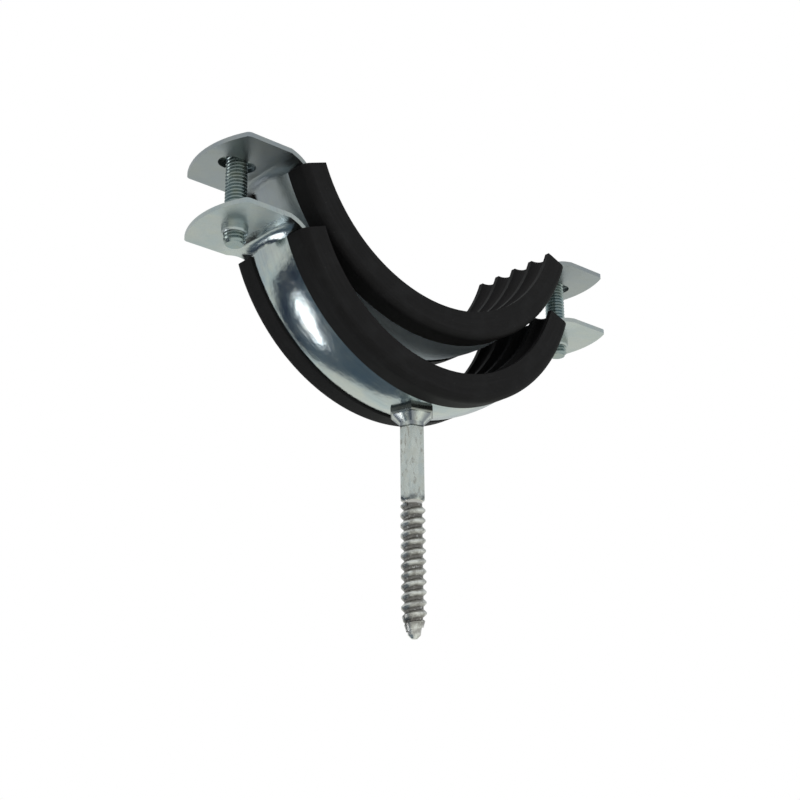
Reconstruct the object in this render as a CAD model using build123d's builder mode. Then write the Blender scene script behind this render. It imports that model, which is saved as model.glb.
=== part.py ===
from build123d import *
import math
import os

# Rubber lined pipe clamp: two dished steel half straps with ribbed rubber linings, nested one
# above the other as delivered, held by two closing screws, on a staked wood-thread hanger screw.
# Frame: origin at the centre of the lower half's arc, X from ear to ear, Y along the pipe,
# +Z up. Millimetres.

os.makedirs("parts", exist_ok=True)

# ---- driving dimensions -----------------------------------------------------------------
# rubber lining
seat_radius = 45.6          # crests of the ribs: the pipe's own radius
lining_width = 30.0
lining_end_angle = 20.7     # how far below the horizontal the lining stops
rib_count = 5
rib_land = 1.5              # flat crest of each rib
rib_depth = 2.0
lip_height = 7.9            # seat radius to the outside of the lips
lip_inner_half = 7.8        # the lips leave this half width of steel bare
lip_corner = 2.2
lip_edge_round = 0.3

# steel half strap
strap_thickness = 1.3
crown_proud = 0.5           # the dished strap's crown stands this far outside the lips
strap_half_width = 12.6
dish_radius = 30.0          # curve of the strap across its width
bend_radius = 3.0           # inside radius where the strap turns into an ear
bend_sections = 5           # steps in which the dish is pressed flat round the bend
ear_half_width = 14.4
ear_length = 13.55          # end of the bend to the ear's corners
ear_bulge = 3.8             # rise of the ear's curved end
ear_corner = 1.5
bare_angle = 0.15           # the strap runs on past the lining by this much before the bend

# closing screws, M6 x 25
screw_diameter = 6.0
screw_length = 25.0
screw_from_bend = 7.35      # end of the bend to the screw's axis
slot_width = 6.6
slot_length = 10.8
flange_radius = 6.2
flange_height = 0.9
head_radius = 5.4
head_height = 2.5
head_round = 1.8
recess_length = 5.2
recess_width = 1.2
recess_depth = 1.7
screw_end_chamfer = 0.7
bush_outer_radius = 3.5
bush_height = 1.8
bush_round = 0.8

# hanger screw
collar_across_flats = 11.6
collar_rim = 0.6
collar_taper = 2.7
collar_saddle_angle = 12.0  # arc over which the collar's top is cut to the strap
shank_across_flats = 6.5
shank_corner = 0.45
shank_length = 22.3
shank_chamfer = 1.0
hex_turn = 47.8             # how the hexagons are turned about the hanger's axis
thread_core_radius = 2.55
thread_crest_radius = 3.4
thread_pitch = 2.8
thread_base = 2.1
thread_crest = 0.45
thread_root_bite = 0.4      # the turn's root runs this far into the core
thread_length = 37.2
thread_relief = 0.6         # plain neck between the shank and the first turn
thread_lead_in = 0.6        # plain length of the rounded tip under the last turn
tip_length = 6.5
tip_radius = 1.7
tip_round = 0.9
tenon_radius = 3.1
rivet_radius = 4.6
rivet_height = 1.1

# clearances
half_gap = 1.05             # upper crown to the lower lining's nearest rib
seat_gap = 0.3              # screw flange to the upper ear
running_gap = 0.05          # screw in its tapped bush, radial
rivet_gap = 0.2             # rubber round the rivet head

# ---- worked-out sizes -------------------------------------------------------------------
lip_radius = seat_radius + lip_height
crown_radius = lip_radius + crown_proud
crown_inner = crown_radius - strap_thickness
lining_half = lining_width / 2
lining_arc = 90 - lining_end_angle
rib_pitch = (lining_width - rib_land) / (rib_count - 1)
flat_arc = lining_arc + bare_angle

# the bend rolls off the arc at flat_arc, and the ear lies on its tangent
bend_distance = crown_radius + bend_radius
bend_x = bend_distance * math.sin(math.radians(flat_arc))
bend_z = -bend_distance * math.cos(math.radians(flat_arc))
ear_under = bend_z + bend_radius
ear_top = ear_under + strap_thickness
ear_corner_x = bend_x + ear_length
screw_x = bend_x + screw_from_bend

# the upper half stands just high enough for its crown to clear the lower lining's ends
rib_end_x = seat_radius * math.sin(math.radians(lining_arc))
rib_end_z = -seat_radius * math.cos(math.radians(lining_arc))
half_lift = rib_end_z + math.sqrt((crown_radius + half_gap) ** 2 - rib_end_x ** 2)

flange_seat = ear_top + half_lift + seat_gap
screw_end = flange_seat - screw_length

collar_top = -crown_radius
taper_top = collar_top - collar_rim
shank_top = taper_top - collar_taper
shank_end = shank_top - shank_length
thread_end = shank_end - thread_length


def dish_drop(y, half_curve=dish_radius):
    """Drop of the dished strap below its crown, at a distance y from the middle."""
    return half_curve - math.sqrt(half_curve ** 2 - y ** 2)


def radial_plane(angle):
    """Section plane through the pipe axis: local X along the pipe, local Y outward."""
    turn = math.radians(angle)
    return Plane(origin=(0, 0, 0), x_dir=(0, 1, 0), z_dir=(-math.cos(turn), 0, -math.sin(turn)))


edge_drop = dish_drop(strap_half_width)
lip_drop = dish_drop(lip_inner_half)
lip_mid = (lip_inner_half + strap_half_width) / 2

# ---- lining section: ribs, side faces, lips over the strap's edges ------------------------
with BuildSketch(mode=Mode.PRIVATE) as lining_section:
    with BuildLine():
        for rib in range(rib_count):
            left = -lining_half + rib * rib_pitch
            Line((left, seat_radius), (left + rib_land, seat_radius))
        for valley in range(rib_count - 1):
            left = -lining_half + valley * rib_pitch + rib_land
            right = left + rib_pitch - rib_land
            middle = ((left + right) / 2, seat_radius + rib_depth)
            ThreePointArc((left, seat_radius), middle, (right, seat_radius))
        for side in (-1, 1):
            corner_mid = lip_corner * (1 - math.sqrt(0.5))
            Line((side * lining_half, seat_radius), (side * lining_half, lip_radius - lip_corner))
            ThreePointArc(
                (side * lining_half, lip_radius - lip_corner),
                (side * (lining_half - corner_mid), lip_radius - corner_mid),
                (side * (lining_half - lip_corner), lip_radius),
            )
            Polyline(
                (side * (lining_half - lip_corner), lip_radius),
                (side * (lip_inner_half + lip_edge_round), lip_radius),
                (side * lip_inner_half, lip_radius - lip_edge_round),
                (side * lip_inner_half, crown_radius - lip_drop),
            )
            ThreePointArc(
                (side * lip_inner_half, crown_radius - lip_drop),
                (side * lip_mid, crown_radius - dish_drop(lip_mid)),
                (side * strap_half_width, crown_radius - edge_drop),
            )
            Line(
                (side * strap_half_width, crown_radius - edge_drop),
                (side * strap_half_width, crown_inner - edge_drop),
            )
        ThreePointArc(
            (-strap_half_width, crown_inner - edge_drop),
            (0, crown_inner),
            (strap_half_width, crown_inner - edge_drop),
        )
    make_face()

# ---- dished strap section ---------------------------------------------------------------
with BuildSketch(mode=Mode.PRIVATE) as dished_section:
    with BuildLine():
        ThreePointArc(
            (-strap_half_width, crown_radius - edge_drop),
            (0, crown_radius),
            (strap_half_width, crown_radius - edge_drop),
        )
        Line(
            (strap_half_width, crown_radius - edge_drop),
            (strap_half_width, crown_inner - edge_drop),
        )
        ThreePointArc(
            (strap_half_width, crown_inner - edge_drop),
            (0, crown_inner),
            (-strap_half_width, crown_inner - edge_drop),
        )
        Line(
            (-strap_half_width, crown_inner - edge_drop),
            (-strap_half_width, crown_radius - edge_drop),
        )
    make_face()

# ---- ear plan: curved end, rounded corners ------------------------------------------------
with BuildSketch(mode=Mode.PRIVATE) as ear_plan:
    with BuildLine():
        Line((ear_corner_x, -ear_half_width), (bend_x, -ear_half_width))
        Line((bend_x, -ear_half_width), (bend_x, ear_half_width))
        Line((bend_x, ear_half_width), (ear_corner_x, ear_half_width))
        ThreePointArc(
            (ear_corner_x, ear_half_width),
            (ear_corner_x + ear_bulge, 0),
            (ear_corner_x, -ear_half_width),
        )
    make_face()
    fillet(ear_plan.vertices().group_by(Axis.X)[-1], ear_corner)

# ---- half strap: dished arc, bend and ear; one side, then mirrored --------------------------


def bend_plane(share):
    """Section plane part way round the bend: local X along the pipe, local Y from its centre."""
    turn = math.radians(flat_arc * (1 - share))
    return Plane(
        origin=(bend_x, 0, bend_z),
        x_dir=(0, 1, 0),
        z_dir=(math.cos(turn), 0, math.sin(turn)),
    )


with BuildPart() as plain_strap:
    with BuildSketch(radial_plane(flat_arc)):
        add(dished_section.sketch)
    revolve(axis=Axis.Y, revolution_arc=flat_arc)
    # the dish is pressed flat as the strap turns into the ear
    for step in range(bend_sections):
        share = step / (bend_sections - 1)
        half = strap_half_width + (ear_half_width - strap_half_width) * share
        sag = edge_drop * (1 - share) ** 2
        with BuildSketch(bend_plane(share)):
            with BuildLine():
                under = [(-half, bend_radius + sag), (0, bend_radius), (half, bend_radius + sag)]
                over = [(y, radius + strap_thickness) for y, radius in reversed(under)]
                if sag > 0:
                    ThreePointArc(*under)
                    ThreePointArc(*over)
                else:
                    Line(under[0], under[2])
                    Line(over[0], over[2])
                Line(under[2], over[0])
                Line(over[2], under[0])
            make_face()
    loft()
    with BuildSketch(Plane.XY.offset(ear_under)):
        add(ear_plan.sketch)
    extrude(amount=strap_thickness)
    mirror(about=Plane.YZ)

# ---- upper half strap: a slot in each ear -------------------------------------------------
with BuildPart() as upper_strap:
    add(plain_strap.part.moved(Location((0, 0, half_lift))))
    with BuildSketch(Plane.XY.offset(ear_top + half_lift)):
        with Locations((-screw_x, 0), (screw_x, 0)):
            SlotOverall(slot_length, slot_width)
    extrude(amount=-strap_thickness, mode=Mode.SUBTRACT)
upper_strap.part.label = "upper_strap"
export_step(upper_strap.part, "parts/upper_strap.step")

# ---- lower half strap: a drawn and tapped bush under each ear, a hole for the hanger --------
with BuildPart() as lower_strap:
    add(plain_strap.part)
    with BuildSketch(Plane.XY.offset(ear_under)):
        with Locations((-screw_x, 0), (screw_x, 0)):
            Circle(bush_outer_radius)
    extrude(amount=-bush_height)
    bush_root = lower_strap.edges().filter_by(GeomType.CIRCLE)
    bush_root = bush_root.filter_by(lambda edge: abs(edge.radius - bush_outer_radius) < 0.01)
    fillet(bush_root.group_by(Axis.Z)[0], bush_round)
    with BuildSketch(Plane.XY.offset(ear_top)):
        with Locations((-screw_x, 0), (screw_x, 0)):
            Circle(screw_diameter / 2)
    extrude(amount=-(strap_thickness + bush_height), mode=Mode.SUBTRACT)
    with BuildSketch(Plane.XY.offset(-crown_radius - strap_thickness)):
        Circle(tenon_radius)
    extrude(amount=3 * strap_thickness, mode=Mode.SUBTRACT)
lower_strap.part.label = "lower_strap"
export_step(lower_strap.part, "parts/lower_strap.step")

# ---- linings: the same rubber section, the lower one pocketed over the rivet head ----------
with BuildPart() as upper_lining:
    with BuildSketch(radial_plane(lining_arc)):
        add(lining_section.sketch)
    revolve(axis=Axis.Y, revolution_arc=2 * lining_arc)
lining_body = upper_lining.part
upper_lining_placed = lining_body.moved(Location((0, 0, half_lift)))
upper_lining_placed.label = "upper_lining"
export_step(upper_lining_placed, "parts/upper_lining.step")

with BuildPart() as lower_lining:
    add(lining_body)
    with BuildSketch(Plane.XY.offset(-crown_radius)):
        Circle(rivet_radius + rivet_gap)
    extrude(amount=strap_thickness + rivet_height + rivet_gap, mode=Mode.SUBTRACT)
lower_lining.part.label = "lower_lining"
export_step(lower_lining.part, "parts/lower_lining.step")

# ---- closing screws: flanged pan head with a cross recess, seated over the upper ears --------
shaft_radius = screw_diameter / 2 - running_gap
head_base = flange_seat + flange_height
head_top = head_base + head_height
with BuildPart() as closing_screw:
    with BuildSketch(Plane.XY.offset(head_base)):
        Circle(head_radius)
    extrude(amount=head_height)
    fillet(closing_screw.faces().sort_by(Axis.Z)[-1].edges(), head_round)
    with BuildSketch(Plane.XY.offset(flange_seat)):
        Circle(flange_radius)
    extrude(amount=flange_height)
    with BuildSketch(Plane.XY.offset(screw_end)):
        Circle(shaft_radius)
    extrude(amount=screw_length)
    chamfer(closing_screw.faces().sort_by(Axis.Z)[0].edges(), screw_end_chamfer)
    with BuildSketch(Plane.XY.offset(head_top)):
        Rectangle(recess_length, recess_width)
        Rectangle(recess_width, recess_length)
    extrude(amount=-recess_depth, mode=Mode.SUBTRACT)

left_screw_placed = closing_screw.part.moved(Location((-screw_x, 0, 0)))
left_screw_placed.label = "left_closing_screw"
export_step(left_screw_placed, "parts/left_closing_screw.step")
right_screw_placed = closing_screw.part.moved(Location((screw_x, 0, 0)))
right_screw_placed.label = "right_closing_screw"
export_step(right_screw_placed, "parts/right_closing_screw.step")

# ---- hanger screw: staked tenon, tapered hexagon collar, hexagon shank, coarse wood thread ---
collar_radius = collar_across_flats / math.sqrt(3)
shank_radius = shank_across_flats / math.sqrt(3)
rivet_seat = -crown_inner
with BuildPart() as hanger_screw:
    # collar, up into the strap's curve
    with BuildSketch(Plane.XY.offset(taper_top)):
        RegularPolygon(collar_radius, 6, rotation=hex_turn)
    extrude(amount=collar_rim + 2 * strap_thickness)
    with BuildSketch(Plane.XY.offset(taper_top)):
        RegularPolygon(collar_radius, 6, rotation=hex_turn)
    with BuildSketch(Plane.XY.offset(shank_top)):
        RegularPolygon(shank_radius, 6, rotation=hex_turn)
    loft(ruled=True)
    # the collar's top follows the dished strap
    with BuildSketch(radial_plane(collar_saddle_angle)):
        with BuildLine():
            ThreePointArc(
                (-strap_half_width, crown_radius - edge_drop),
                (0, crown_radius),
                (strap_half_width, crown_radius - edge_drop),
            )
            Polyline(
                (strap_half_width, crown_radius - edge_drop),
                (strap_half_width, seat_radius),
                (-strap_half_width, seat_radius),
                (-strap_half_width, crown_radius - edge_drop),
            )
        make_face()
    revolve(axis=Axis.Y, revolution_arc=2 * collar_saddle_angle, mode=Mode.SUBTRACT)
    # tenon through the strap and the head staked over inside it
    with BuildSketch(Plane.XY.offset(taper_top)):
        Circle(tenon_radius)
    extrude(amount=rivet_seat - taper_top + rivet_height / 2)
    with BuildSketch(Plane.XZ):
        with BuildLine():
            Polyline(
                (0, rivet_seat),
                (rivet_radius, rivet_seat),
                (rivet_radius, rivet_seat + rivet_height / 2),
                (rivet_radius / 2, rivet_seat + rivet_height),
                (0, rivet_seat + rivet_height),
                close=True,
            )
        make_face()
    revolve(axis=Axis.Z)
    # shank
    with BuildSketch(Plane.XY.offset(shank_top)):
        RegularPolygon(shank_radius, 6, rotation=hex_turn)
        fillet(vertices(), shank_corner)
    extrude(amount=-shank_length)
    with BuildSketch(Plane.XZ):
        Polygon(
            (shank_radius, shank_end),
            (shank_radius, shank_end + shank_chamfer),
            (shank_radius - shank_chamfer, shank_end),
            align=None,
        )
    revolve(axis=Axis.Z, mode=Mode.SUBTRACT)
    # threaded core with its blunt tip
    with BuildSketch(Plane.XZ):
        with BuildLine():
            Polyline(
                (0, shank_end + shank_chamfer),
                (thread_core_radius, shank_end + shank_chamfer),
                (thread_core_radius, thread_end + tip_length),
                (tip_radius, thread_end + tip_round),
                (tip_radius - tip_round, thread_end),
                (0, thread_end),
                close=True,
            )
        make_face()
    revolve(axis=Axis.Z)
hanger_body = hanger_screw.part

with BuildPart() as wood_thread:
    with BuildLine() as turn_path:
        Helix(
            pitch=thread_pitch,
            height=thread_length - thread_relief - thread_lead_in - tip_round,
            radius=thread_core_radius,
            center=(0, 0, thread_end + tip_round + thread_lead_in),
        )
    turn_start = turn_path.line @ 0
    with BuildSketch(Plane(origin=turn_start, x_dir=(1, 0, 0), z_dir=turn_path.line % 0)):
        with BuildLine():
            rise = thread_crest_radius - thread_core_radius
            Polyline(
                (-thread_root_bite, -thread_base / 2),
                (0, -thread_base / 2),
                (rise, -thread_crest / 2),
                (rise, thread_crest / 2),
                (0, thread_base / 2),
                (-thread_root_bite, thread_base / 2),
                close=True,
            )
        make_face()
    sweep(is_frenet=True)
    # the turns run out over the tapered tip
    with BuildSketch(Plane.XZ):
        with BuildLine():
            Polyline(
                (0, shank_end),
                (thread_core_radius, shank_end - thread_relief / 2),
                (thread_crest_radius + running_gap, shank_end - 2 * thread_relief),
                (thread_crest_radius + running_gap, thread_end + tip_length),
                (tip_radius + rise / 2, thread_end + 2 * tip_round),
                (tip_radius, thread_end + tip_round),
                (0, thread_end + tip_round),
                close=True,
            )
        make_face()
    revolve(axis=Axis.Z, mode=Mode.INTERSECT)

# the staked head is pressed down onto the dished strap
with BuildPart() as hanger_whole:
    add(hanger_body)
    add(lower_strap.part, mode=Mode.SUBTRACT)
    add(wood_thread.part)
hanger_whole.part.label = "hanger_screw"
export_step(hanger_whole.part, "parts/hanger_screw.step")
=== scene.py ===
import bpy, bmesh, math
from mathutils import Matrix, Vector


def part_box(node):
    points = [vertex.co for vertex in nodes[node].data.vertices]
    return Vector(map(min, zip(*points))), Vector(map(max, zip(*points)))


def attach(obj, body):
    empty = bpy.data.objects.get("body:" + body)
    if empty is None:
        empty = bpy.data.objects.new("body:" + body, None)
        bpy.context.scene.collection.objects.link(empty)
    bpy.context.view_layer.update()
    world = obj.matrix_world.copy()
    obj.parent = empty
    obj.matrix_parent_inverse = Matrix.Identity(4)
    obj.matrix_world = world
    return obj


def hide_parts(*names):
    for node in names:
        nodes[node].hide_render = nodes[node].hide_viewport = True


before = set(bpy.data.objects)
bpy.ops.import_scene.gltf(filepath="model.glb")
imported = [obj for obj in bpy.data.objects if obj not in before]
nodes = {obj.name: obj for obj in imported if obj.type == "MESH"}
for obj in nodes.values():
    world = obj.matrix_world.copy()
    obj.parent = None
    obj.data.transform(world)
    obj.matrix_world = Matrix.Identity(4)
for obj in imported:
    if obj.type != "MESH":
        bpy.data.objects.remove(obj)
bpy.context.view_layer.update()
MM = 0.001
PER_METRE = 1000.0

# ---- sizes shared with the CAD source, in millimetres ------------------------------------
CROWN = 54.0  # radius of a strap's crowned outside
LIFT = 18.680  # height of the upper seat's axis above the lower one's
EAR_TOP = 2.97  # height of the upper ears' top faces
SCREW_X = 60.7229
SHAFT_R = 2.95
PITCH = 1.0
THREAD_DEPTH = 0.54
SCREW_LEN = 25.0
FLANGE_R, FLANGE_H = 6.2, 0.9
HEAD_R, HEAD_H, HEAD_ROUND = 5.4, 2.5, 1.8
RECESS_DEPTH = 1.7
HEX_TURN = 47.8  # how the hanger's hexagons are turned, in degrees

# ---- camera: fitted to the photograph's corners, arcs and screws -------------------------
cam_data = bpy.data.cameras.new("camera")
cam = bpy.data.objects.new("camera", cam_data)
bpy.context.scene.collection.objects.link(cam)
right = Vector((0.75409, -0.65672, -0.00833)).normalized()
back = Vector((-0.61953, -0.70706, -0.34096)).normalized()
up = back.cross(right).normalized()
right = up.cross(back).normalized()
rot = Matrix((right, up, back)).transposed().to_4x4()
cam.matrix_world = Matrix.Translation(Vector((-250.9, -281.48, -186.94)) * MM) @ rot
cam_data.lens = 65.006
cam_data.sensor_width = 36
cam_data.clip_start = 0.01
cam_data.clip_end = 20
bpy.context.scene.camera = cam


# ---- node helpers --------------------------------------------------------------------------
class Mat:
    """A node material being built: short calls for the nodes that every material here uses."""

    def __init__(self, name):
        self.mat = bpy.data.materials.new(name)
        self.mat.use_nodes = True
        self.tree = self.mat.node_tree
        self.bsdf = self.tree.nodes["Principled BSDF"]
        self.coord = self.tree.nodes.new("ShaderNodeTexCoord").outputs["Object"]

    def new(self, kind, **inputs):
        node = self.tree.nodes.new(kind)
        for key, value in inputs.items():
            self.put(node.inputs[key], value)
        return node

    def put(self, socket, value):
        if isinstance(value, bpy.types.NodeSocket):
            self.tree.links.new(value, socket)
        else:
            socket.default_value = value

    def math(self, op, a, b=0.0, clamp=False):
        node = self.tree.nodes.new("ShaderNodeMath")
        node.operation, node.use_clamp = op, clamp
        self.put(node.inputs[0], a)
        self.put(node.inputs[1], b)
        return node.outputs[0]

    def length(self, a, b):
        """The length of the flat vector (a, b)."""
        squares = self.math("ADD", self.math("MULTIPLY", a, a), self.math("MULTIPLY", b, b))
        return self.math("SQRT", squares)

    def fade(self, value, start, width):
        """0 up to start, then rising to 1 over the width."""
        return self.math("DIVIDE", self.math("SUBTRACT", value, start), width, clamp=True)

    def split(self, vector):
        return self.new("ShaderNodeSeparateXYZ", Vector=vector).outputs

    def join(self, x, y, z):
        return self.new("ShaderNodeCombineXYZ", X=x, Y=y, Z=z).outputs[0]

    def scaled(self, vector, scale):
        node = self.new("ShaderNodeMapping", Vector=vector)
        node.inputs["Scale"].default_value = scale
        return node.outputs[0]

    def millimetres(self):
        return self.scaled(self.coord, (PER_METRE, PER_METRE, PER_METRE))

    def noise(self, vector, scale, detail=3.0, rough=0.5):
        inputs = {"Vector": vector, "Scale": scale, "Detail": detail, "Roughness": rough}
        return self.new("ShaderNodeTexNoise", **inputs).outputs["Fac"]

    def ramp(self, fac, stops):
        """A colour ramp; stops are (position, grey) pairs."""
        node = self.new("ShaderNodeValToRGB", Fac=fac)
        bar = node.color_ramp
        while len(bar.elements) < len(stops):
            bar.elements.new(0.5)
        for element, (place, grey) in zip(bar.elements, stops):
            element.position = place
            element.color = (grey, grey, grey, 1)
        return node.outputs["Color"]

    def mix(self, fac, a, b):
        node = self.tree.nodes.new("ShaderNodeMix")
        node.data_type = "RGBA"
        self.put(node.inputs["Factor"], fac)
        for socket, value in ((node.inputs[6], a), (node.inputs[7], b)):
            self.put(socket, (*value, 1) if isinstance(value, tuple) else value)
        return node.outputs[2]

    def bump(self, height, distance, strength, normal=None):
        node = self.new("ShaderNodeBump", Height=height, Distance=distance, Strength=strength)
        if normal is not None:
            self.put(node.inputs["Normal"], normal)
        return node.outputs["Normal"]

    def shader(self, **values):
        for key, value in values.items():
            self.put(self.bsdf.inputs[key.replace("_", " ")], value)


def polar(m, lift):
    """Coordinates that follow the half ring: along the arc, along the pipe, outward, in mm."""
    s = m.split(m.coord)
    z = m.math("SUBTRACT", s["Z"], lift * MM)
    angle = m.math("ARCTAN2", s["X"], m.math("MULTIPLY", z, -1.0))
    radius = m.length(s["X"], z)
    return m.join(
        m.math("MULTIPLY", angle, CROWN),
        m.math("MULTIPLY", s["Y"], PER_METRE),
        m.math("MULTIPLY", radius, PER_METRE),
    )


# ---- zinc plated steel ------------------------------------------------------------------------
EAR_FROM, EAR_FADE = 56.0, 0.25  # the ears grow duller past this radius, per millimetre
CROWN_REACH, CROWN_FADE = 54.0, 12.0  # the duller crown with its painted pale reflection ends this far along the arc
UNDER_FLANGE = 0.12  # half height of the shaded ring on a closing screw's shaft


def zinc(name, lift, colour, blue, green, rough, marks=1.0):
    """Bright zinc over steel: rolling or drawing marks, cloudy plating and small stains, with a
    painted shade ring on the closing screws' shafts and a painted pale bluish reflection on the
    upper strap's crown.

    lift is the height of the strap's arc; None is for the closing screws.
    """
    m = Mat(name)
    if lift is None:
        along = m.millimetres()
        grain = m.scaled(along, (1, 1, 0.06))
    else:
        along = polar(m, lift)
        grain = m.scaled(along, (0.035, 1, 1))
    cloud = m.noise(along, 0.09, 3.0, 0.55)
    patch = m.noise(along, 0.34, 4.0, 0.6)
    lines = m.noise(grain, 2.6, 3.0, 0.65)
    fine = m.noise(along, 5.5, 3.0, 0.6)
    base = m.mix(m.ramp(cloud, [(0.34, 0.0), (0.66, 1.0)]), colour, blue)
    base = m.mix(m.ramp(patch, [(0.46, 0.0), (0.72, 0.55)]), base, green)
    base = m.mix(m.ramp(lines, [(0.30, 0.22), (0.52, 0.0)]), base, (0.30, 0.32, 0.33))
    spots = m.ramp(m.noise(along, 1.15, 5.0, 0.7), [(0.66, 0.0), (0.74, 0.45)])
    base = m.mix(spots, base, (0.36, 0.35, 0.31))
    if lift is None:
        # the shaded ring between the ear and the flange
        level = m.math("ABSOLUTE", m.math("SUBTRACT", m.split(along)["Z"], EAR_TOP))
        base = m.mix(m.math("LESS_THAN", level, UNDER_FLANGE), base, (0.05, 0.05, 0.05))
    shine = m.math("ADD", rough - 0.07, m.math("MULTIPLY", patch, 0.12))
    shine = m.math("ADD", shine, m.math("MULTIPLY", lines, 0.07), clamp=True)
    if lift is not None:
        beyond = m.math("SUBTRACT", m.split(along)["Z"], EAR_FROM)
        ear = m.math("MULTIPLY", beyond, EAR_FADE, clamp=True)
        shine = m.math("ADD", shine, m.math("MULTIPLY", ear, 0.18 if lift == 0 else 0.04))
    if lift:
        # the crown of the upper strap is duller than its ends, and its colour is painted paler and
        # bluer there as a painted reflection
        reach = m.math("ABSOLUTE", m.split(along)["X"])
        inside = m.math("SUBTRACT", CROWN_REACH, reach)
        crown = m.math("DIVIDE", inside, CROWN_FADE, clamp=True)
        shine = m.math("ADD", shine, m.math("MULTIPLY", crown, 0.26))
        base = m.mix(crown, base, m.mix(0.45, base, (0.80, 0.90, 1.0)))
    relief = m.bump(lines, 0.00003, 0.5 * marks)
    relief = m.bump(fine, 0.000012, 0.5 * marks, relief)
    relief = m.bump(m.noise(along, 1.7, 3.0, 0.65), 0.00004, 0.4 * marks, relief)
    relief = m.bump(cloud, 0.0006, 0.45 * marks, relief)
    m.shader(Base_Color=base, Metallic=1.0, Roughness=shine, Normal=relief)
    return m.mat


lower_zinc = zinc(
    "lower_strap_zinc", 0.0, (0.54, 0.57, 0.56), (0.44, 0.52, 0.55), (0.58, 0.61, 0.55), 0.15
)
# the upper strap: the same zinc as the lower strap, with its colours painted darker all over as
# shade
upper_zinc_shade_and_sheen = zinc(
    "upper_strap_zinc_painted_shade_and_sheen", LIFT, (0.40, 0.425, 0.43), (0.35, 0.39, 0.43), (0.43, 0.45, 0.43), 0.32
)
screw_zinc = zinc(
    "screw_zinc", None, (0.35, 0.39, 0.37), (0.30, 0.38, 0.40), (0.38, 0.41, 0.33), 0.25, 0.6
)

# the hanger screw's zones, as depths below the origin in millimetres
RIM_END = 55.3  # the collar's rim, painted dark as shade under the strap
FLATS_FROM, FLATS_END = 55.0, 58.4  # the collar's tapered flats
BULGE_MIDDLE, BULGE_REACH = 56.4, 1.5
CUT_FROM = 77.9  # the shank's corners turned down to the thread
THREAD_FROM = 79.45
FIRST_TURN = 80.1
TIP_FROM = 112.5
ROOT_R, ROOT_RISE = 2.5, 0.9  # painted shade in the thread's core, brightening outward to painted highlights on its crests


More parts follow.
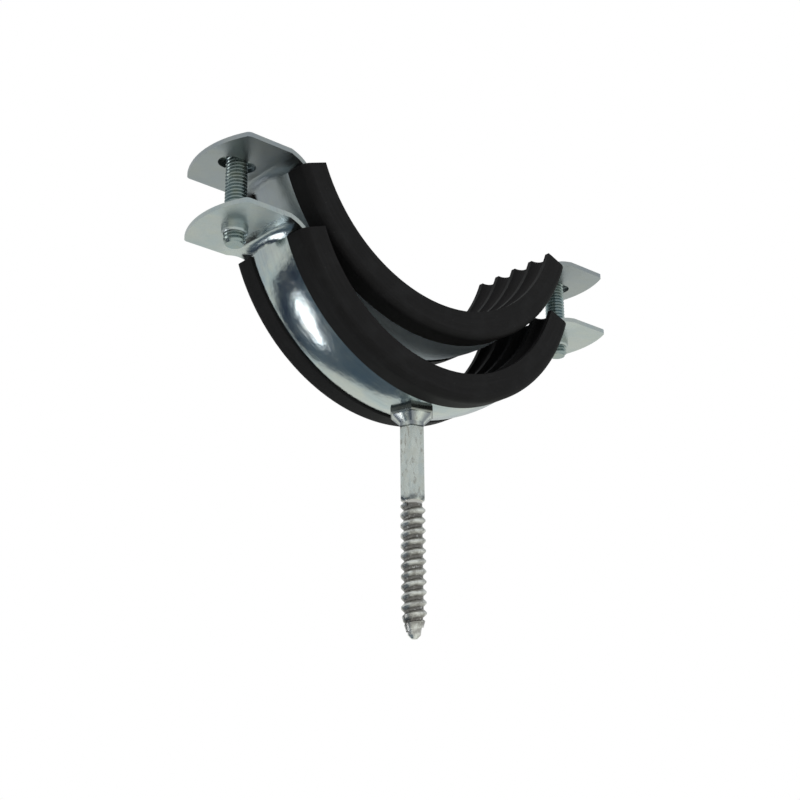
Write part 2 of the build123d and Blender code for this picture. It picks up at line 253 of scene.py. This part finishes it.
def hanger_zinc_with_painted_light():
    """The hanger screw's plating: pale and stained on the shank, with painted shade under the
    collar's rim and in the thread's roots, and painted highlights on the collar's flats and the
    thread's crests.
    """
    m = Mat("hanger_zinc")
    along = m.millimetres()
    drawn = m.scaled(along, (1, 1, 0.16))
    patch = m.noise(along, 0.5, 4.0, 0.6)
    streak = m.noise(drawn, 1.1, 4.0, 0.6)
    fine = m.noise(along, 4.5, 4.0, 0.6)
    s = m.split(along)
    depth = m.math("MULTIPLY", s["Z"], -1.0)
    radius = m.length(s["X"], s["Y"])
    turn = m.math("SUBTRACT", m.math("ARCTAN2", s["Y"], s["X"]), math.radians(HEX_TURN))
    wave = m.math("COSINE", m.math("MULTIPLY", turn, 6.0))
    corner = m.math("ADD", 0.5, m.math("MULTIPLY", wave, 0.5))

    # shank: cloudy zinc with drawn streaks and brown stains
    streaks = m.ramp(streak, [(0.38, 0.0), (0.62, 1.0)])
    shank = m.mix(streaks, (0.74, 0.77, 0.73), (0.60, 0.65, 0.64))
    shank = m.mix(m.ramp(patch, [(0.44, 0.0), (0.66, 0.8)]), shank, (0.64, 0.65, 0.59))
    blotch = m.noise(m.scaled(along, (1, 1, 0.55)), 0.75, 4.0, 0.65)
    shank = m.mix(m.ramp(blotch, [(0.54, 0.0), (0.66, 0.75)]), shank, (0.36, 0.33, 0.29))
    # the forged collar: its rim under the strap painted dark as shade, and painted shade at the
    # corners of the tapered flats so that their middles read as painted highlights
    rim = m.math("MULTIPLY", m.math("SUBTRACT", RIM_END, depth), 1.5, clamp=True)
    flats = m.math("SUBTRACT", m.fade(depth, FLATS_FROM, 0.3), m.fade(depth, FLATS_END, 0.4))
    shank = m.mix(m.math("MULTIPLY", flats, corner), shank, (0.26, 0.28, 0.31))
    shank = m.mix(m.math("MULTIPLY", rim, 0.9), shank, (0.07, 0.075, 0.07))
    # the turned end: dark in the cut corners
    cut = m.math("MULTIPLY", m.fade(depth, CUT_FROM, 0.9), m.math("POWER", corner, 0.6))
    shank = m.mix(m.math("MULTIPLY", cut, 0.85), shank, (0.11, 0.12, 0.14))
    # the thread: painted shade in the core, painted highlights on the crests and tip, and a
    # painted highlight ring at the first turn
    root_shade_crest_light = m.fade(radius, ROOT_R, ROOT_RISE)
    # the tip brightened as a painted highlight
    root_shade_crest_light = m.math("MAXIMUM", root_shade_crest_light, m.fade(depth, TIP_FROM, 2.0))
    thread = m.mix(root_shade_crest_light, (0.14, 0.13, 0.122), (0.84, 0.84, 0.81))
    dull = m.ramp(patch, [(0.42, 0.0), (0.62, 0.7)])
    thread = m.mix(dull, thread, (0.25, 0.235, 0.215))
    glints = m.ramp(m.noise(along, 1.3, 4.0, 0.7), [(0.56, 0.0), (0.68, 0.7)])
    thread = m.mix(glints, thread, (0.84, 0.85, 0.84))
    # a painted highlight ring at the first turn
    first = m.math("SUBTRACT", 1.0, m.fade(depth, FIRST_TURN, 0.4))
    thread = m.mix(first, thread, (0.72, 0.70, 0.67))
    threaded = m.fade(depth, THREAD_FROM, 0.1)
    base = m.mix(threaded, shank, thread)
    shine = m.math("ADD", 0.20, m.math("MULTIPLY", threaded, 0.05))
    shine = m.math("ADD", shine, m.math("MULTIPLY", patch, 0.16))
    relief = m.bump(fine, 0.00003, 0.5)
    relief = m.bump(patch, 0.00012, 0.4, relief)
    middle = m.math("DIVIDE", m.math("SUBTRACT", depth, BULGE_MIDDLE), BULGE_REACH)
    fall = m.math("MULTIPLY", m.math("MULTIPLY", middle, middle), -0.12)
    bulge = m.math("ADD", m.math("MULTIPLY", corner, -0.26), fall)
    relief = m.bump(m.math("MULTIPLY", bulge, flats), 0.001, 1.0, relief)
    m.shader(Base_Color=base, Metallic=1.0, Roughness=shine, Normal=relief)
    return m.mat


# ---- rubber ---------------------------------------------------------------------------------
def rubber(name, lift):
    """Matt black extruded rubber: faint die lines along the arc, dusty patches, fine pores."""
    m = Mat(name)
    along = polar(m, lift)
    die = m.noise(m.scaled(along, (0.03, 1, 1)), 1.9, 4.0, 0.65)
    dust = m.noise(along, 0.16, 4.0, 0.6)
    pores = m.noise(along, 7.0, 2.0, 0.5)
    marks = m.ramp(die, [(0.42, 0.0), (0.70, 1.0)])
    base = m.mix(marks, (0.0042, 0.0038, 0.004), (0.0075, 0.007, 0.0073))
    base = m.mix(m.ramp(dust, [(0.50, 0.0), (0.78, 0.6)]), base, (0.013, 0.013, 0.0135))
    specks = m.ramp(m.noise(along, 1.5, 3.0, 0.6), [(0.71, 0.0), (0.75, 0.7)])
    base = m.mix(specks, base, (0.05, 0.05, 0.05))
    shine = m.math("ADD", 0.50, m.math("MULTIPLY", dust, 0.22))
    shine = m.math("ADD", shine, m.math("MULTIPLY", die, 0.10))
    relief = m.bump(die, 0.00008, 0.5)
    relief = m.bump(pores, 0.00002, 0.6, relief)
    m.shader(Base_Color=base, Roughness=shine, Normal=relief, Specular_IOR_Level=0.16)
    return m.mat


finishes = {
    "lower_strap": lower_zinc,
    "upper_strap": upper_zinc_shade_and_sheen,
    "lower_lining": rubber("lower_lining_rubber", 0.0),
    "upper_lining": rubber("upper_lining_rubber", LIFT),
    "left_closing_screw": screw_zinc,
    "right_closing_screw": screw_zinc,
    "hanger_screw": hanger_zinc_with_painted_light(),
}
for name, finish in finishes.items():
    node = nodes[name]
    for slot in node.material_slots:
        slot.material = finish
    if not node.material_slots:
        node.data.materials.append(finish)


# ---- closing screws: the real thread and a tapered cross recess --------------------------------
AROUND = 40  # vertices in one turn of the thread
SEGMENTS = 64  # and round the head
LEAD_IN = 0.9  # length over which the thread's end tapers
OVERLAP = 0.2  # how far the thread runs up into the head
MERGE = 0.0005
CREASE = math.radians(38)


def ring_point(x, r, z, index, count):
    angle = 2 * math.pi * index / count
    return (x + r * math.cos(angle), r * math.sin(angle), z)


def threaded_screw(name, x, seat):
    """M6 screw with a flanged pan head; seat is the height of the flange's underside, mm."""
    bm = bmesh.new()
    # the thread: each column of the grid follows one angle up the helix
    root = SHAFT_R - THREAD_DEPTH
    low = seat - SCREW_LEN
    profile = [(0.0, SHAFT_R), (0.14, SHAFT_R), (0.46, root), (0.62, root), (0.94, SHAFT_R - 0.02)]
    turns = range(-1, int(SCREW_LEN / PITCH) + 2)
    levels = [(t * PITCH + f * PITCH, r) for t in turns for f, r in profile]
    grid = []
    for i in range(AROUND):
        column = []
        for level, r in levels:
            z = low + level + PITCH * i / AROUND
            z = min(max(z, low), seat + OVERLAP)
            taper = min(1.0, (z - low) / LEAD_IN)
            r_here = min(r, root - 0.1 + (SHAFT_R - root + 0.1) * taper)
            column.append(bm.verts.new(ring_point(x, r_here, z, i, AROUND)))
        grid.append(column)
    for i in range(AROUND):
        # the last column meets the first one a whole turn up
        following = (i + 1) % AROUND
        step = len(profile) if following == 0 else 0
        for j in range(len(levels) - 1 - step):
            quad = [grid[i][j], grid[following][j + step]]
            quad += [grid[following][j + 1 + step], grid[i][j + 1]]
            bm.faces.new(quad)
    # plain end
    centre = bm.verts.new((x, 0, low))
    for i in range(AROUND):
        bm.faces.new((centre, grid[(i + 1) % AROUND][0], grid[i][0]))
    # flange and pan head
    head_base = seat + FLANGE_H
    top = head_base + HEAD_H
    outline = [(SHAFT_R - 0.3, seat), (FLANGE_R - 0.12, seat), (FLANGE_R, seat + 0.12)]
    outline += [(FLANGE_R, head_base - 0.2), (FLANGE_R - 0.2, head_base - 0.02)]
    outline += [(HEAD_R + 0.12, head_base + 0.02), (HEAD_R, head_base + 0.14)]
    for k in range(7):
        turn = math.radians(90 * k / 6)
        outline.append((
            HEAD_R - HEAD_ROUND + HEAD_ROUND * math.cos(turn),
            top - HEAD_ROUND + HEAD_ROUND * math.sin(turn),
        ))
    outline.append((2.0, top))
    rings = []
    for r, z in outline:
        points = [ring_point(x, r, z, i, SEGMENTS) for i in range(SEGMENTS)]
        rings.append([bm.verts.new(point) for point in points])
    for a, b in zip(rings, rings[1:]):
        for i in range(SEGMENTS):
            bm.faces.new((a[i], a[(i + 1) % SEGMENTS], b[(i + 1) % SEGMENTS], b[i]))
    bm.faces.new(rings[-1])
    bm.faces.new(list(reversed(rings[0])))
    bmesh.ops.remove_doubles(bm, verts=bm.verts, dist=MERGE)
    bmesh.ops.dissolve_degenerate(bm, edges=bm.edges, dist=MERGE)
    return to_mesh(bm, name), top


def to_mesh(bm, name):
    """The mesh with its faces turned outward, in metres."""
    bmesh.ops.recalc_face_normals(bm, faces=bm.faces)
    bmesh.ops.scale(bm, vec=(MM, MM, MM), verts=bm.verts)
    mesh = bpy.data.meshes.new(name)
    bm.to_mesh(mesh)
    bm.free()
    return mesh


def cross_cutter(x, top):
    """Two tapered bars that cross and reach RECESS_DEPTH into the head."""
    bm = bmesh.new()
    mouth = (2.6, 0.62, top + 0.3)  # half length, half width, height
    bottom = (1.35, 0.42, top - RECESS_DEPTH)
    for turned in (False, True):
        corners = []
        for a, b, z in (mouth, bottom):
            ring = [(a, b), (-a, b), (-a, -b), (a, -b)]
            if turned:
                ring = [(-q, p) for p, q in ring]
            corners.append([bm.verts.new((x + p, q, z)) for p, q in ring])
        upper, lower = corners
        for i in range(4):
            bm.faces.new((upper[i], upper[(i + 1) % 4], lower[(i + 1) % 4], lower[i]))
        bm.faces.new(list(reversed(upper)))
        bm.faces.new(lower)
    return to_mesh(bm, "cross_cutter")


def add_screw(name, x, node, body):
    """The threaded screw that stands in for the plain one of the CAD."""
    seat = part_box(node)[1].z / MM - HEAD_H - FLANGE_H
    mesh, top = threaded_screw(name, x, seat)
    screw = bpy.data.objects.new(name, mesh)
    bpy.context.scene.collection.objects.link(screw)
    cutter = bpy.data.objects.new("cutter", cross_cutter(x, top))
    bpy.context.scene.collection.objects.link(cutter)
    cut = screw.modifiers.new("recess", "BOOLEAN")
    cut.operation, cut.object, cut.solver = "DIFFERENCE", cutter, "EXACT"
    cut.use_self = True
    bpy.context.view_layer.update()
    depsgraph = bpy.context.evaluated_depsgraph_get()
    done = bpy.data.meshes.new_from_object(screw.evaluated_get(depsgraph))
    screw.modifiers.clear()
    screw.data = done
    bpy.data.objects.remove(cutter)
    done.polygons.foreach_set("use_smooth", [True] * len(done.polygons))
    done.set_sharp_from_angle(angle=CREASE)
    done.materials.clear()
    done.materials.append(screw_zinc)
    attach(screw, body)
    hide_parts(node)


add_screw("left_threaded_screw", -SCREW_X, "left_closing_screw", "left_screw")
add_screw("right_threaded_screw", SCREW_X, "right_closing_screw", "right_screw")

# ---- floor, world and lamps, in metres ---------------------------------------------------------
FLOOR_Z = -0.26
FLOOR_HALF = 6.0
FLOOR_GLOW = 0.10


def square(half, z):
    return [(-half, -half, z), (half, -half, z), (half, half, z), (-half, half, z)]


def stage_mesh(name, points, faces, material):
    mesh = bpy.data.meshes.new(name)
    mesh.from_pydata(points, [], faces)
    mesh.materials.append(material)
    obj = bpy.data.objects.new(name, mesh)
    bpy.context.scene.collection.objects.link(obj)
    return obj


def seen_rays(tree):
    """1 for the rays that see the backdrop: camera, glossy and transmission."""
    path = tree.nodes.new("ShaderNodeLightPath")
    out = path.outputs["Is Camera Ray"]
    for other in ("Is Glossy Ray", "Is Transmission Ray"):
        top = tree.nodes.new("ShaderNodeMath")
        top.operation = "MAXIMUM"
        tree.links.new(out, top.inputs[0])
        tree.links.new(path.outputs[other], top.inputs[1])
        out = top.outputs[0]
    return out


paper = Mat("floor_paper")
tone = paper.noise(paper.coord, 1.2, 3.0, 0.5)
paper.shader(
    Base_Color=paper.mix(tone, (0.80, 0.80, 0.80), (0.84, 0.84, 0.84)),
    Roughness=0.9,
    Specular_IOR_Level=0.1,
    Emission_Color=(1, 1, 1, 1),
    Emission_Strength=paper.math("MULTIPLY", seen_rays(paper.tree), FLOOR_GLOW),
)
stage_mesh("floor", square(FLOOR_HALF, FLOOR_Z), [(0, 1, 2, 3)], paper.mat)

# the world lights in a soft grey and is white where it is seen
world = bpy.data.worlds.new("studio")
bpy.context.scene.world = world
world.use_nodes = True
world_tree = world.node_tree
pick = world_tree.nodes.new("ShaderNodeMix")
pick.data_type = "RGBA"
pick.inputs[6].default_value = (0.40, 0.42, 0.44, 1)
pick.inputs[7].default_value = (1, 1, 1, 1)
world_tree.links.new(seen_rays(world_tree), pick.inputs["Factor"])
world_tree.links.new(pick.outputs[2], world_tree.nodes["Background"].inputs["Color"])
world_tree.nodes["Background"].inputs["Strength"].default_value = 1.0


def softbox(name, place, aim, size, power, along=None):
    """A soft lamp that only lights; given a long axis, an elliptic one that the metal mirrors."""
    data = bpy.data.lights.new(name, "AREA")
    data.shape, data.size, data.size_y, data.energy = "RECTANGLE", size[0], size[1], power
    lamp = bpy.data.objects.new(name, data)
    bpy.context.scene.collection.objects.link(lamp)
    lamp.location = Vector(place)
    lamp.rotation_mode = "QUATERNION"
    lamp.rotation_quaternion = (Vector(aim) - Vector(place)).to_track_quat("-Z", "Y")
    lamp.visible_camera = False
    lamp.visible_glossy = along is not None
    if along is not None:
        data.shape = "ELLIPSE"
        out = (Vector(place) - Vector(aim)).normalized()
        across = (Vector(along) - Vector(along).dot(out) * out).normalized()
        turned = Matrix((across, out.cross(across), out)).transposed()
        lamp.rotation_quaternion = turned.to_quaternion()


STRAP = Vector((-0.035, 0.0, -0.038))  # a point on the lower strap's left side
CENTRE = (0, 0, -0.03)
LOW_LAMP = 0.27  # distance of the mirrored lamp


def toward(azimuth, elevation, distance):
    """A point seen from STRAP in that direction."""
    a, e = math.radians(azimuth), math.radians(elevation)
    direction = Vector((math.sin(a) * math.cos(e), -math.cos(a) * math.cos(e), math.sin(e)))
    return STRAP + distance * direction


softbox("key", (-0.55, -0.65, 0.75), CENTRE, (0.5, 0.5), 7.5)
softbox("fill", (0.8, -0.6, 0.2), CENTRE, (0.6, 0.6), 3.6)
softbox("rim", (0.1, 0.9, 0.6), CENTRE, (0.5, 0.5), 4.0)
slant = toward(235, -32, LOW_LAMP) - toward(205, -48, LOW_LAMP)
softbox("low", toward(220, -39.5, LOW_LAMP), STRAP, (0.160, 0.066), 0.10, along=slant)

# ---- glowing cards that only mirrored rays see -------------------------------------------------
CARD_DROP = 0.213  # how far below STRAP a card may reach, to stay over the floor
BASE_HALF, BASE_Z = 3.0, -0.255  # the card just over the floor


def card_paint(name, colour):
    mat = bpy.data.materials.new(name)
    mat.use_nodes = True
    tree = mat.node_tree
    tree.nodes.clear()
    out = tree.nodes.new("ShaderNodeOutputMaterial")
    glow = tree.nodes.new("ShaderNodeEmission")
    glow.inputs["Color"].default_value = (*colour, 1)
    tree.links.new(glow.outputs[0], out.inputs["Surface"])
    return mat


def card(name, points, faces, colour):
    obj = stage_mesh(name, points, faces, card_paint(name, colour))
    obj.visible_camera = obj.visible_diffuse = obj.visible_shadow = False
    obj.visible_transmission = obj.visible_volume_scatter = False


def band(name, top, low, distance, colour):
    """A bent card: its upper edge through (azimuth, elevation) points, its lower edge likewise."""
    points = []
    for azimuth, elevation in top + low:
        fall = max(0.01, math.sin(math.radians(-elevation)))
        points.append(toward(azimuth, elevation, min(distance, CARD_DROP / fall)))
    n = len(top)
    faces = [(i, i + 1, n + i + 1, n + i) for i in range(n - 1)]
    card(name, points, faces, colour)


BLUE_GREY = (0.086, 0.119, 0.15)
SEAM = -44  # elevation at which low_card ends and under_card starts, or lower
edge = [(100, -45), (120, -45), (150, -45), (166, -43), (174, -36), (178, -26), (183, -17)]
edge += [(189, -12), (205, -10), (215, -10), (225, -12), (235, -13), (245, -13), (258, -10)]
edge += [(270, -8)]
seam = [(a, min(e, SEAM)) for a, e in edge]
band("low_card", edge, seam, 0.30, BLUE_GREY)
band("under_card", seam, [(a, -86) for a, e in edge], 0.30, BLUE_GREY)
dark = [(a, e) for a, e in edge if 178 <= a <= 258]
band("dark_card", dark, [(a, -29) for a, e in dark], 0.29, (0.011, 0.024, 0.050))
ring = [15 * k for k in range(25)]
band("ring_card", [(a, 62) for a in ring], [(a, -4) for a in ring], 0.5, (0.60, 0.63, 0.63))
card("base_card", square(BASE_HALF, BASE_Z), [(0, 1, 2, 3)], (0.78, 0.81, 0.76))
bpy.context.scene.view_settings.view_transform = "Standard"
